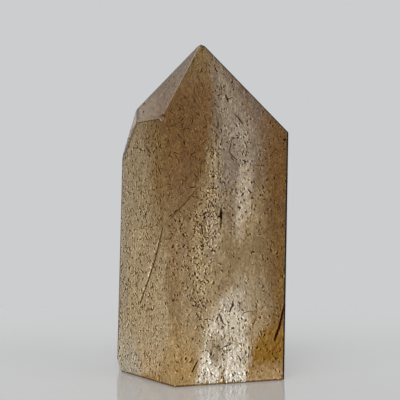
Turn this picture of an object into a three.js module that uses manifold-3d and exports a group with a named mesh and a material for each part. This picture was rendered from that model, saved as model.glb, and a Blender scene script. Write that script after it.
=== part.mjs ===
// Rutilated quartz point: one crystal, ground flat on every side from a rough block and stood on its sawn base.
//
// Millimetres and degrees. +Z is up and -Y is the side that is shown. The faces are placed about the tip line,
// the plumb line through the tip. A facing is the compass direction a face looks, counter-clockwise from +X.

import * as THREE from 'three';
import Module from 'manifold-3d';
import { mergeVertices } from 'three/addons/utils/BufferGeometryUtils.js';

const wasm = await Module();
wasm.setup();

// Driving dimensions
const TIP_HEIGHT = 80.5; // before polishing blunts the tip by half a millimetre
const ROUGH_BLOCK_WIDTH = 90;
const ROUGH_BLOCK_HEIGHT = 3 * TIP_HEIGHT; // the base grinds its lower half away
const WASTE_BLOCK_SIZE = 4 * TIP_HEIGHT; // larger than anything a face can cut off
const EDGE_FLAT_DEPTH = 0.08; // how far the polishing took each sharp edge back
const BASE_EDGE_DEPTH = 0.15;

// The six upright faces. Lean is how far a face tilts in as it rises, and reach is its distance from the tip
// line at the base. The front face rises all the way to the tip.
const UPRIGHT_FACES = [
  { name: 'front', facing: -75.5, lean: 5.0, reach: 7.0 },
  { name: 'left', facing: -137.2, lean: 0.7, reach: 10.4 },
  { name: 'right', facing: -6.5, lean: -1.5, reach: 19.4 },
  { name: 'back right', facing: 44.0, lean: 1.0, reach: 22.6 },
  { name: 'back', facing: 104.0, lean: 1.5, reach: 23.6 },
  { name: 'back left', facing: 170.0, lean: 1.2, reach: 22.1 },
];

// The sloping faces of the termination. Slope is measured from the horizontal, and peak is the height at which
// the face meets the tip line.
const TIP_FACES = [
  { name: 'left tip', facing: -136.6, slope: 63.1, peak: TIP_HEIGHT },
  { name: 'left shoulder', facing: -157.0, slope: 76.4, peak: 117.3 },
  { name: 'back left shoulder', facing: 166.0, slope: 72.0, peak: 119.4 },
  { name: 'back left tip', facing: 142.0, slope: 42.6, peak: TIP_HEIGHT },
  { name: 'back tip', facing: 88.0, slope: 49.5, peak: 79.9 },
  { name: 'right tip', facing: 28.0, slope: 45.9, peak: TIP_HEIGHT },
];

// The worn corner at the foot of the left face: a small flat that leans out as it rises.
const WORN_CORNER = { facing: 196.0, overhang: 17.0, inset: 1.0 };

// Small bites out of the edges: where each one lies, the radius of its scoop and how deep it bites.
const NICKS = [
  { name: 'left tip corner', at: [-9.2, -4.1, 61.2], out: [-0.55, -0.8, 0.25], radius: 2.4, bite: 0.35 },
  { name: 'front foot', at: [0.2, -7.2, 0.0], out: [0.2, -0.8, -0.5], radius: 2.2, bite: 0.3 },
  { name: 'right foot', at: [19.1, -2.2, 0.0], out: [0.6, -0.6, -0.5], radius: 1.8, bite: 0.35 },
  { name: 'back foot', at: [5.9, 25.8, 0.0], out: [0.3, 0.7, -0.6], radius: 2.6, bite: 0.45 },
];

// Body colour and gloss
const QUARTZ_COLOUR = 0x9a7c56;
const QUARTZ_ROUGHNESS = 0.08;

const UP = new THREE.Vector3(0, 0, 1);
const ON_FACE = 1e-4; // a point this near a face lies on it
const NEARLY_PARALLEL = 1e-4;
const SHORTEST_EDGE = 0.1;
const SCOOP_SUBDIVISIONS = 2;

/** The outward direction of a face that looks along `facing` and is tilted up by `rise` degrees. */
function outward(facing, rise) {
  const f = THREE.MathUtils.degToRad(facing);
  const r = THREE.MathUtils.degToRad(rise);
  return new THREE.Vector3(Math.cos(f) * Math.cos(r), Math.sin(f) * Math.cos(r), Math.sin(r));
}

/** The plane of an upright face. */
function uprightPlane({ facing, lean, reach }) {
  const footPoint = outward(facing, 0).multiplyScalar(reach);
  return new THREE.Plane().setFromNormalAndCoplanarPoint(outward(facing, lean), footPoint);
}

/** The plane of a sloping face. */
function tipPlane({ facing, slope, peak }) {
  return new THREE.Plane().setFromNormalAndCoplanarPoint(outward(facing, 90 - slope), new THREE.Vector3(0, 0, peak));
}

/** A closed three.js geometry as a solid that can be joined and cut. */
function solidOf(geometry) {
  const bare = geometry.clone();
  bare.deleteAttribute('normal');
  bare.deleteAttribute('uv');
  const merged = mergeVertices(bare);
  return new wasm.Manifold(new wasm.Mesh({
    numProp: 3,
    vertProperties: new Float32Array(merged.attributes.position.array),
    triVerts: new Uint32Array(merged.index.array),
  }));
}

/** Everything outside a plane, as a block whose inner side lies on it. */
function wasteBeyond(plane) {
  const block = new THREE.BoxGeometry(WASTE_BLOCK_SIZE, WASTE_BLOCK_SIZE, WASTE_BLOCK_SIZE);
  const turn = new THREE.Quaternion().setFromUnitVectors(UP, plane.normal);
  const middle = plane.normal.clone().multiplyScalar(WASTE_BLOCK_SIZE / 2 - plane.constant);
  block.applyMatrix4(new THREE.Matrix4().compose(middle, turn, new THREE.Vector3(1, 1, 1)));
  return solidOf(block);
}

/** The solid after one face is ground flat. */
function grind(solid, plane) {
  return solid.subtract(wasteBeyond(plane));
}

/** The point where three planes meet, or null where they don't. */
function meetingPoint(a, b, c) {
  const rows = new THREE.Matrix3().set(...a.normal.toArray(), ...b.normal.toArray(), ...c.normal.toArray());
  if (Math.abs(rows.determinant()) < NEARLY_PARALLEL) return null;
  return new THREE.Vector3(-a.constant, -b.constant, -c.constant).applyMatrix3(rows.invert());
}

/** Whether two faces share an edge: at least two corners of the crystal lie on both. */
function shareEdge(a, b, faces) {
  const corners = faces
    .filter((c) => c !== a && c !== b)
    .map((c) => meetingPoint(a, b, c))
    .filter((p) => p && faces.every((f) => f.distanceToPoint(p) < ON_FACE));
  return corners.some((p) => p.distanceTo(corners[0]) > SHORTEST_EDGE);
}

/** The narrow flat that polishing leaves along the edge between two faces. */
function edgeFlat(a, b, depth) {
  const normal = a.normal.clone().add(b.normal);
  const length = normal.length();
  return new THREE.Plane(normal.divideScalar(length), (a.constant + b.constant) / length + depth);
}

/** The edge flats of every pair of faces that meet. */
function edgeFlats(faces, base) {
  const flats = [];
  faces.forEach((a, i) => {
    faces.slice(i + 1).forEach((b) => {
      if (!shareEdge(a, b, faces)) return;
      flats.push(edgeFlat(a, b, b === base ? BASE_EDGE_DEPTH : EDGE_FLAT_DEPTH));
    });
  });
  return flats;
}

/** The flat of the worn corner, set in from the corner of the left and back left faces at the base. */
function wornCornerPlane(left, backLeft, base) {
  const corner = meetingPoint(left, backLeft, base);
  const inner = corner.addScaledVector(outward(WORN_CORNER.facing, 0), -WORN_CORNER.inset);
  return new THREE.Plane().setFromNormalAndCoplanarPoint(outward(WORN_CORNER.facing, -WORN_CORNER.overhang), inner);
}

/** The scoop that a nick takes out of an edge. */
function scoop({ at, out, radius, bite }) {
  const ball = new THREE.IcosahedronGeometry(radius, SCOOP_SUBDIVISIONS);
  const middle = new THREE.Vector3(...at).addScaledVector(new THREE.Vector3(...out).normalize(), radius - bite);
  return solidOf(ball.translate(...middle.toArray()));
}

/** The whole crystal, standing on its base with the tip line at the origin. */
function crystalSolid() {
  const base = new THREE.Plane(new THREE.Vector3(0, 0, -1), 0);
  const upright = Object.fromEntries(UPRIGHT_FACES.map((face) => [face.name, uprightPlane(face)]));
  const faces = [...Object.values(upright), ...TIP_FACES.map(tipPlane), base];
  const block = new THREE.BoxGeometry(ROUGH_BLOCK_WIDTH, ROUGH_BLOCK_WIDTH, ROUGH_BLOCK_HEIGHT);
  const worn = wornCornerPlane(upright.left, upright['back left'], base);
  const ground = [...faces, ...edgeFlats(faces, base), worn].reduce(grind, solidOf(block));
  return NICKS.reduce((solid, nick) => solid.subtract(scoop(nick)), ground);
}

/** A solid as a flat-shaded geometry, moved so that the middle of its footprint is at the origin. */
function standingGeometry(solid) {
  const { vertProperties, triVerts } = solid.getMesh();
  const shared = new THREE.BufferGeometry();
  shared.setAttribute('position', new THREE.BufferAttribute(vertProperties, 3));
  shared.setIndex(new THREE.BufferAttribute(triVerts, 1));
  shared.computeBoundingBox();
  const middle = shared.boundingBox.getCenter(new THREE.Vector3());
  shared.translate(-middle.x, -middle.y, -shared.boundingBox.min.z);
  const geometry = shared.toNonIndexed();
  geometry.computeVertexNormals();
  return geometry;
}

const quartz = new THREE.MeshStandardMaterial({ color: QUARTZ_COLOUR, roughness: QUARTZ_ROUGHNESS, metalness: 0 });
const crystal = new THREE.Mesh(standingGeometry(crystalSolid()), quartz);
crystal.name = 'quartz_point';

const group = new THREE.Group();
group.add(crystal);

export default group;
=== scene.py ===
"""Looks of the rutilated quartz point.

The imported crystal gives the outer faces. A clouded, half clear piece of smoky quartz takes its place. What
grew in it is made as joined meshes: a deep haze of flakes, fine needles, the flecks where fibres meet the
polish, and a few needles, spots and cracks that stand out one by one. Lengths are in millimetres until a mesh
is written.
"""

import logging
import math
from dataclasses import dataclass
from enum import Enum
from typing import Callable

import bmesh
import bpy
import mathutils
import numpy as np
from bmesh.types import BMesh, BMFace
from bpy.types import ID, Material, Mesh, Node, NodeTree, Object
from bpy.types import NodeSocket as Socket
from mathutils import Matrix, Vector

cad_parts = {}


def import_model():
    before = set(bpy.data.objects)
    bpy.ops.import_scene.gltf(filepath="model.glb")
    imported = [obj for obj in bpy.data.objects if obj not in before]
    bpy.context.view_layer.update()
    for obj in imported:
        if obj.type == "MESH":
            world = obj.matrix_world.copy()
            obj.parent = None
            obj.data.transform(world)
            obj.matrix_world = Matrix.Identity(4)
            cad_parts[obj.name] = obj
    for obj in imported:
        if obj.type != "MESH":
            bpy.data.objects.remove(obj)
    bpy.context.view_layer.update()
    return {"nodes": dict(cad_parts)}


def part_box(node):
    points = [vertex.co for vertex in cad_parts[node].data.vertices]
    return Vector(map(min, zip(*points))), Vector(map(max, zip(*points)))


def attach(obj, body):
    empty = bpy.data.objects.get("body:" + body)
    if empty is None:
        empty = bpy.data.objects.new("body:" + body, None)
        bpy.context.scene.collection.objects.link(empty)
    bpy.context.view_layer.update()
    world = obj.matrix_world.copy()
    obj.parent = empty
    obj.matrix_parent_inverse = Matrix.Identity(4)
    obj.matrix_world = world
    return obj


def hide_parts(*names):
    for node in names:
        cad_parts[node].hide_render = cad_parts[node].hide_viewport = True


LOG = logging.getLogger("quartz_point")

NODE = "quartz_point"
BODY = "root"
METRES_PER_MM = 0.001
QUARTZ_IOR = 1.544
# The white toward which a painted glint's colour is lifted
PAINTED_GLINT_WHITE = (0.62, 0.61, 0.58)

# The middle of a range from 0 to 1, such as a noise
MIDDLE = 0.5

# The upward part of a face's normal: of the sawn base at most, and of a level face at least
BASE_TURN = -0.9
LEVEL_TURN = 0.9

# The span over which zone borders are drawn, in millimetres
ZONE_HEIGHT = 80.0
ZONE_WIDTH = 64.0

# The numbers of a colour Mix node's sockets, because several share a name
MIX_SHARE = 0
MIX_UNDER = 6
MIX_OVER = 7
MIX_RESULT = 2

Colour = tuple[float, float, float]
Place = tuple[float, float, float]
Span = tuple[float, float]
Knots = tuple[float, ...]
Points = np.ndarray
Mask = Callable[[Points], np.ndarray]
Random = np.random.Generator


def between(value: np.ndarray, low: float, high: float) -> np.ndarray:
    """A smooth step from 0 at low to 1 at high.

    Args:
        value: What is stepped.
        low: Where the step begins.
        high: Where it ends.

    Returns:
        Values from 0 to 1.
    """
    share = np.clip((value - low) / (high - low), 0.0, 1.0)
    return share * share * (3.0 - 2.0 * share)


def anywhere(points: Points) -> np.ndarray:
    """The same chance, 1, at every point."""
    return np.ones(len(points))


@dataclass(frozen=True)
class Grain:
    """Lumps in a material: their width in millimetres, upright stretch, finer layers and effect."""

    size: float
    stretch: float = 1.0
    detail: float = 2.0
    amount: float = 1.0


class Wires:
    """A node tree with short ways to add nodes and link them."""

    def __init__(self, tree: NodeTree) -> None:
        """Takes over a tree."""
        self.tree = tree

    def link(self, source: Socket, target: Socket) -> None:
        """Links an output to an input."""
        self.tree.links.new(source, target)

    def add(self, kind: str, inputs: dict | None = None, **settings: object) -> Node:
        """Adds a node.

        Args:
            kind: The node's type, without its prefix.
            inputs: What goes into each input, by name or number: a plain value or a socket.
            settings: The node's own properties.

        Returns:
            The node.
        """
        node = self.tree.nodes.new("ShaderNode" + kind)
        for name, value in settings.items():
            setattr(node, name, value)
        for key, value in (inputs or {}).items():
            if isinstance(value, Socket):
                self.link(value, node.inputs[key])
            else:
                node.inputs[key].default_value = value
        return node

    def math(self, operation: str, first: Socket | float, second: Socket | float) -> Socket:
        """The result of a Math node."""
        return self.add("Math", {0: first, 1: second}, operation=operation).outputs[0]

    def step(self, value: Socket, low: float, high: float) -> Socket:
        """A smooth step from 0 at low to 1 at high. A low above high turns it round."""
        inputs = {"Value": value, "From Min": low, "From Max": high}
        return self.add("MapRange", inputs, interpolation_type="SMOOTHSTEP").outputs[0]

    def blend(self, share: Socket | float, under: Socket | Colour, over: Socket | Colour,
              how: str = "MIX") -> Socket:
        """A colour blended over another.

        Args:
            share: How much of it, from 0 to 1.
            under: The colour below.
            over: The colour on top.
            how: Blender's name for the way of blending.

        Returns:
            The colour.
        """
        under = (*under, 1.0) if isinstance(under, tuple) else under
        over = (*over, 1.0) if isinstance(over, tuple) else over
        inputs = {MIX_SHARE: share, MIX_UNDER: under, MIX_OVER: over}
        return self.add("Mix", inputs, data_type="RGBA", blend_type=how).outputs[MIX_RESULT]

    def noise(self, place: Socket, grain: Grain) -> Socket:
        """Lumps that may stand upright.

        Args:
            place: The place in metres.
            grain: The lumps.

        Returns:
            The noise, from 0 to 1.
        """
        scale = 1.0 / (grain.size * METRES_PER_MM)
        mapping = self.add("Mapping", {"Vector": place, "Scale": (scale, scale, scale / grain.stretch)})
        inputs = {"Vector": mapping.outputs[0], "Scale": 1.0, "Detail": grain.detail}
        return self.add("TexNoise", inputs).outputs["Fac"]

    def curve(self, share: Socket, knots: list[Span]) -> Socket:
        """A value that follows straight lines between knots.

        Args:
            share: How far along the lines it is, from 0 to 1.
            knots: The lines' ends, from 0 to 1 both ways.

        Returns:
            The value.
        """
        node = self.add("FloatCurve", {"Value": share})
        points = node.mapping.curves[0].points
        while len(points) < len(knots):
            points.new(*knots[0])
        for point, knot in zip(points, knots):
            point.location = knot
            point.handle_type = "VECTOR"
        node.mapping.update()
        return node.outputs[0]


def new_material(name: str) -> tuple[Material, Wires, Node]:
    """An empty node material.

    Args:
        name: Its name.

    Returns:
        The material, its wires and its output node.
    """
    material = bpy.data.materials.new(name)
    material.use_nodes = True
    tree = material.node_tree
    tree.nodes.clear()
    return material, Wires(tree), tree.nodes.new("ShaderNodeOutputMaterial")


def new_group(name: str, inputs: dict[str, str], outputs: dict[str, str]) -> tuple[Wires, Node, Node]:
    """An empty shader node group that takes Object coordinates as its Vector.

    Args:
        name: Its name.
        inputs: The kinds of its further inputs, by name.
        outputs: The kinds of its outputs, by name.

    Returns:
        Its wires, its input node and its output node.
    """
    tree = bpy.data.node_groups.new(name, "ShaderNodeTree")
    for direction, sockets in (("INPUT", {"Vector": "Vector", **inputs}), ("OUTPUT", outputs)):
        for socket, kind in sockets.items():
            tree.interface.new_socket(socket, in_out=direction, socket_type="NodeSocket" + kind)
    return Wires(tree), tree.nodes.new("NodeGroupInput"), tree.nodes.new("NodeGroupOutput")


def new_object(name: str, data: ID) -> Object:
    """Puts new data into the scene.

    Args:
        name: The object's name.
        data: Its mesh, lamp or camera.

    Returns:
        The object.
    """
    made = bpy.data.objects.new(name, data)
    bpy.context.scene.collection.objects.link(made)
    return made


def mesh_from(name: str, bm: BMesh) -> Mesh:
    """Turns what was built into a mesh.

    Args:
        name: The mesh's name.
        bm: What was built. It is freed.

    Returns:
        The mesh.
    """
    mesh = bpy.data.meshes.new(name)
    bm.to_mesh(mesh)
    bm.free()
    return mesh


def ride(name: str, mesh: Mesh) -> Object:
    """Puts a finished mesh into the scene, riding on the crystal.

    Args:
        name: The piece's name.
        mesh: Its mesh, with its finish.

    Returns:
        The piece.
    """
    piece = new_object(name, mesh)
    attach(piece, BODY)
    LOG.info("%s: %d faces", name, len(mesh.polygons))
    return piece


@dataclass(frozen=True)
class Band:
    """An upright band across the stone. Its borders and strength change with height.

    A border is given at each height, or once for all of them.
    """

    heights: Knots
    left: Knots
    right: Knots
    strength: Knots
    soft: float

    def share(self, points: Points) -> np.ndarray:
        """How strongly the band holds.

        Args:
            points: Places in the stone, one a row.

        Returns:
            Its share at each place, from 0 to 1.
        """
        x, z = points[:, 0], points[:, 2]
        inside = between(x - np.interp(z, self.heights, self._offsets(self.left)), -self.soft, self.soft)
        inside *= between(np.interp(z, self.heights, self._offsets(self.right)) - x, -self.soft, self.soft)
        return inside * np.interp(z, self.heights, self.strength)

    def wire(self, wires: Wires, x: Socket, height: Socket) -> Socket:
        """The same as nodes.

        Args:
            wires: Where they are built.
            x: The place across the stone, in millimetres.
            height: The height as a share of the bands' whole height.

        Returns:
            The band's share.
        """
        from_left = wires.math("SUBTRACT", x, self._border(wires, height, self.left))
        from_right = wires.math("SUBTRACT", self._border(wires, height, self.right), x)
        inside = wires.math("MULTIPLY", wires.step(from_left, -self.soft, self.soft),
                            wires.step(from_right, -self.soft, self.soft))
        knots = [(z / ZONE_HEIGHT, value) for z, value in zip(self.heights, self.strength)]
        return wires.math("MULTIPLY", inside, wires.curve(height, knots))

    def _offsets(self, border: Knots) -> Knots:
        """A border with one value for each height."""
        return border if len(border) > 1 else border * len(self.heights)

    def _border(self, wires: Wires, height: Socket, border: Knots) -> Socket:
        """One border as nodes.

        Args:
            wires: Where they are built.
            height: The height as a share of the bands' whole height.
            border: The border.

        Returns:
            Its place across the stone, in millimetres.
        """
        offsets = self._offsets(border)
        knots = [(z / ZONE_HEIGHT, x / ZONE_WIDTH + MIDDLE) for z, x in zip(self.heights, offsets)]
        centred = wires.math("SUBTRACT", wires.curve(height, knots), MIDDLE)
        return wires.math("MULTIPLY", centred, ZONE_WIDTH)


@dataclass(frozen=True)
class Zone(Band):
    """A growth zone: a band with its own colour."""

    colour: Colour


# Borders beyond the stone, for a zone that is open at a side
FAR_LEFT = (-30,)
FAR_RIGHT = (30,)

MAUVE_SHOULDER = Zone(
    (46, 54, 60, 68, 76), (11, 12.6, 12, 7.5, 3), FAR_RIGHT, (0, 0.7, 1, 1, 0.8), 2.5, (0.225, 0.153, 0.099))
BROWN_CORE = Zone(
    (0, 12, 20, 28, 37, 42, 46, 54, 62, 80), (-7, -7.6, -8.1, -8.5, -8.8, -9.1, -9.3, -9.6, -11, -15),
    (-1.4, 0, -1.2, -2.8, -2.2, -0.6, 0.4, 1.2, 2.7, 2.2),
    (0.15, 0.25, 0.4, 0.45, 0.62, 0.74, 0.88, 1, 1, 0.9), 1.4, (0.214, 0.1, 0.022))
LEFT_RIM = Zone(
    (2, 16, 30, 50, 58), FAR_LEFT, (-19.2, -18.6, -18.2, -18.8, -18.4), (0.35, 0.55, 0.65, 0.6, 0.2), 0.9,
    (0.435, 0.36, 0.262))
EDGE_SHADE = Zone(
    (4, 14, 22, 30, 36), (-7.4, -7.8, -8.2, -8.5, -8.8), (-5, -5, -5.2, -5.6, -6), (0, 0.55, 0.75, 0.5, 0),
    0.8, (0.33, 0.195, 0.07))
LEFT_CORE = Zone(
    (22, 32, 39, 46, 53, 59, 63), (-9.4, -11.5, -12.6, -13.1, -13.3, -14, -14.6),
    (-7.6, -7.9, -8.2, -8.6, -8.9, -9.2, -9.3), (0, 0.3, 0.7, 0.95, 0.85, 0.75, 0.6), 2.2,
    (0.262, 0.132, 0.018))
GOLDEN_TIP = Zone((67, 73, 80), FAR_LEFT, (3, 2.4, 2), (0, 0.85, 1), 1.5, (0.245, 0.15, 0.052))
PLAIN_PATCH = Zone(
    (11, 20, 31, 38), (2, 2.4, 3.6, 5.4), (13.5, 14, 14, 14.5), (0.2, 0.8, 1, 0), 2, (0.385, 0.26, 0.123))
GREY_VEIL = Zone(
    (34, 42, 47, 54, 60, 66, 72, 77), (2, 1.9, 2, 2.3, 2.9, 2.6, 2.2, 1.4),
    (8.5, 10.8, 13.4, 14.4, 12.6, 8.6, 6.4, 3), (0, 0.7, 1, 1, 1, 1, 1, 0.5), 1.2, (0.32, 0.243, 0.172))
CORE_GLOW = Zone(
    (30, 36, 44, 52, 58), (-4.6, -4, -1.6, 0.2, 1.4), (2.6, 3.2, 2.6, 2.4, 2.4), (0, 0.9, 0.9, 0.5, 0), 1.2,
    (0.42, 0.285, 0.135))
LEFT_STREAK = Zone(
    (25, 30, 36, 41, 46, 53, 59), (1.8, 1, 0.2, 0.2, 1.1, 1.6, 1.8), (3.8, 3.8, 3.8, 3.8, 4, 4.6, 3.6),
    (0, 0.85, 1, 0.7, 0.6, 0.55, 0), 0.8, (0.55, 0.42, 0.26))
RIGHT_STREAK = Zone(
    (31, 37, 46, 50, 54, 57, 61), (7.2, 7.2, 8.5, 8.6, 8.6, 8.6, 7), (9.2, 10.2, 11.9, 12.4, 12, 11.6, 10),
    (0, 1, 0.9, 0.6, 0.3, 0.5, 0.1), 1, (0.58, 0.47, 0.34))
TOP_STREAK = Zone(
    (55, 59, 64, 69, 75), (4.4, 4.6, 5.2, 4.6, 3.8), (8, 7.8, 6.9, 6.4, 5.2), (0, 0.95, 0.95, 0.95, 0.2),
    0.9, (0.41, 0.32, 0.235))
VEIL_GAP = Zone(
    (31, 37, 43, 48), (4.6, 4.6, 4.6, 5.4), (7.2, 7, 7.2, 7.6), (0, 0.9, 0.6, 0), 0.8, (0.34, 0.225, 0.12))
CORE_GAP = Zone(
    (55, 60, 69, 73), (1, 1.2, 1.7, 2), (3.4, 3.8, 3.4, 3), (0, 0.75, 0.75, 0), 0.8, (0.235, 0.155, 0.085))
BROWN_SIDE = Zone(
    (7, 14, 22, 40, 46, 54, 62, 67), (15, 14.8, 14.4, 13.4, 13.4, 14.8, 15, 16), FAR_RIGHT,
    (0, 0.8, 0.95, 0.95, 1, 1, 0.9, 0.4), 4, (0.185, 0.079, 0.008))
RIGHT_RIM = Zone(
    (8, 14, 22, 30, 38), (17, 17.2, 17.4, 17.6, 17.8), FAR_RIGHT, (0, 0.7, 0.7, 0.35, 0), 1,
    (0.29, 0.15, 0.022))
PALE_HAZE = Zone(
    (15, 18, 22, 26), (9.4,), (14.4, 14.8, 14.8, 14.4), (0, 0.55, 0.55, 0), 1.6, (0.5, 0.38, 0.235))
# Painted light: the bottom of the stone lit brighter, as by light off the floor
PAINTED_FLOOR_GLOW = Zone((0, 1.6, 4, 10), FAR_LEFT, FAR_RIGHT, (0.9, 0.6, 0.35, 0), 1, (0.92, 0.64, 0.34))
AMBER_RIGHT = Zone(
    (0, 3, 5, 8.5, 12, 15), (9.8, 10.2, 10.6, 11.8, 14.5, 17), FAR_RIGHT, (0.4, 0.62, 1, 1, 0.75, 0), 1,
    (0.35, 0.165, 0.004))
AMBER_LEFT = Zone(
    (0, 2.5, 6, 13), (-16, -10.5, -9.6, -8.2), (-2.2, -1.6, -1.4, -2.4), (0.9, 0.9, 0.85, 0.25), 2,
    (0.545, 0.333, 0.108))
GREY_CORNER = Zone(
    (0, 4, 9, 14), FAR_LEFT, (-15.4, -15.8, -16.6, -17.4), (1, 0.9, 0.5, 0), 1.4, (0.64, 0.555, 0.41))
WHITE_DRIFT = Zone(
    (9, 13, 16, 19, 22, 27), (1.4, 1.9, 2.7, 4.3, 7.2, 8.6), (9.6, 9.6, 9.6, 9.6, 9.8, 9.8),
    (0, 0.8, 0.95, 0.85, 0.42, 0), 1.9, (0.84, 0.745, 0.59))
WHITE_FOOT = Zone(
    (0, 4.2, 7.2, 12, 17), (-2.2, -0.8, -0.1, 0.6, 2.6), (9.2, 9.8, 10, 10.2, 10), (1, 1, 0.95, 0.8, 0), 0.8,
    (0.84, 0.745, 0.59))
# Painted light: the white foot lit whiter still at the bottom, as by light off the floor
PAINTED_FOOT_GLOW = Zone((0, 3, 9), (-0.6, 0.1, 0.8), (9.6, 9.7, 9.8), (1, 0.7, 0), 1, (1.0, 0.92, 0.78))

# Brown stains in the white foot, and shades beside it
FOOT_STAINS = (
    Zone(
        (3.6, 5.6, 9.6, 11.8), (2.8, 2.2, 1.2, 1.8), (4.4, 4.8, 4.4, 3.6), (0, 0.9, 0.85, 0), 0.8,
        (0.45, 0.335, 0.19)),
    Zone(
        (3.2, 4.4, 6.4, 8), (8.4, 8.5, 8.8, 9.2), (9.4, 10, 10.6, 10.6), (0, 0.45, 0.45, 0), 0.7,
        (0.47, 0.35, 0.19)),
    Zone((0, 2.4, 5.8), (4, 4.1, 4.4), (5.6, 5.7, 5.8), (0.9, 0.8, 0), 0.5, (0.52, 0.36, 0.18)),
    Zone(
        (10.2, 11.4, 13.6, 15), (4.8, 4.4, 3.3, 2.8), (6.4, 6, 4.8, 4.2), (0, 0.5, 0.4, 0), 0.5,
        (0.44, 0.32, 0.18)),
    Zone(
        (13.5, 15, 18, 21), (-1.6, -1.4, -0.6, 0.8), (0.4, 0.8, 1.8, 3.2), (0, 0.5, 0.5, 0), 0.9,
        (0.38, 0.275, 0.15)),
    Zone(
        (15.4, 16.6, 18.2, 19.4), (6.9, 7, 7.2, 7.4), (9, 9.2, 9.2, 9), (0, 0.7, 0.7, 0), 0.5,
        (0.42, 0.31, 0.19)),
)

# The zones whose colours lie over each other, the lowest first
TINTED_ZONES = (
    MAUVE_SHOULDER, BROWN_CORE, LEFT_RIM, EDGE_SHADE, LEFT_CORE, GOLDEN_TIP, PLAIN_PATCH, GREY_VEIL,
    CORE_GLOW, LEFT_STREAK, RIGHT_STREAK, TOP_STREAK, VEIL_GAP, CORE_GAP, BROWN_SIDE, RIGHT_RIM, PALE_HAZE,
    PAINTED_FLOOR_GLOW, AMBER_RIGHT, AMBER_LEFT, GREY_CORNER, WHITE_DRIFT, WHITE_FOOT, PAINTED_FOOT_GLOW, *FOOT_STAINS)

# Where few fibres end, low beside the front edge, and where they lie thickest, beside the core
QUIET_FOOT = Band((0, 4, 16, 23), (-9.6, -9.6, -9.4, -9), (-2, -1.4, -1.6, -3), (0.7, 0.8, 0.6, 0), 1.2)
THICKET = Band(
    (12, 20, 30, 44, 56), (-5.5, -5, -4.4, -1.5, 1.2), (-0.5, 0.8, 2.4, 4.2, 4), (0, 0.8, 1, 1, 0.3), 1)

# The tip face on the left, which almost no fibre meets
BARE_FACET = Band((60.6, 61, 70, 80), FAR_LEFT, (-9.9, -9.7, -5.5, -0.9), (0, 1, 1, 1), 0.3)

Weights = tuple[tuple[Band, float], ...]


@dataclass(frozen=True)
class Crowding:
    """How thickly fibres meet the polish and how rare bold ones are. They lie in clumps.

    Each table gives bands and how much each one counts.
    """

    sparse: Weights = (
        (BROWN_CORE, 0.05), (BROWN_SIDE, 0.6), (MAUVE_SHOULDER, 0.6), (PLAIN_PATCH, 0.7), (GOLDEN_TIP, 0.3),
        (AMBER_RIGHT, 0.7), (GREY_VEIL, 0.5), (QUIET_FOOT, 0.8))
    thick: Weights = ((THICKET, 0.7), (WHITE_FOOT, 0.35), (WHITE_DRIFT, 0.35), (LEFT_CORE, 0.05))
    fine: Weights = ((BROWN_CORE, 1), (BROWN_SIDE, 1), (MAUVE_SHOULDER, 1), (PLAIN_PATCH, 1), (QUIET_FOOT, 1))
    coarse: Weights = ((THICKET, 1), (GREY_VEIL, 0.7), (WHITE_DRIFT, 0.7), (LEFT_CORE, 0.6))
    common: float = 0.60
    bareness: float = 0.86
    clump_size: float = 1.6
    clump_edge: float = 0.3
    outside_clumps: float = 0.55
    clump_gain: float = 0.65
    rarity: float = 2.0
    fine_rarity: float = 2.4
    core_rarity: float = 1.0
    coarse_rarity: float = 0.9

    def chance(self, points: Points) -> np.ndarray:
        """How thickly fibres meet the polish.

        Args:
            points: Places on the faces, one a row.

        Returns:
            The chance of a fibre at each place, from 0 to 1.
        """
        lumps = np.array([mathutils.noise.noise(Vector(point) / self.clump_size) for point in points])
        clumps = between(lumps, -self.clump_edge, self.clump_edge)
        crowd = self.common * (1.0 - self._largest(self.sparse, points)) + self._largest(self.thick, points)
        chance = np.clip(crowd * (self.outside_clumps + self.clump_gain * clumps), 0.0, 1.0)
        return chance * (1.0 - self.bareness * BARE_FACET.share(points))

    def rarity_at(self, points: Points) -> np.ndarray:
        """How rare bold fibres are.

        Args:
            points: Places on the faces, one a row.

        Returns:
            The power by which chance shrinks a fibre's size at each place.
        """
        fine = self.fine_rarity * self._largest(self.fine, points)
        coarse = self.coarse_rarity * self._largest(self.coarse, points)
        return self.rarity + fine + self.core_rarity * BROWN_CORE.share(points) - coarse

    def _largest(self, bands: Weights, points: Points) -> np.ndarray:
        """The largest share among weighted bands at each point."""
        return np.maximum.reduce([weight * band.share(points) for band, weight in bands])


def milky(points: Points) -> np.ndarray:
    """How milky the stone is at each point: most in the white foot and the right streak."""
    return np.maximum(WHITE_FOOT.share(points), RIGHT_STREAK.share(points))


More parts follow.
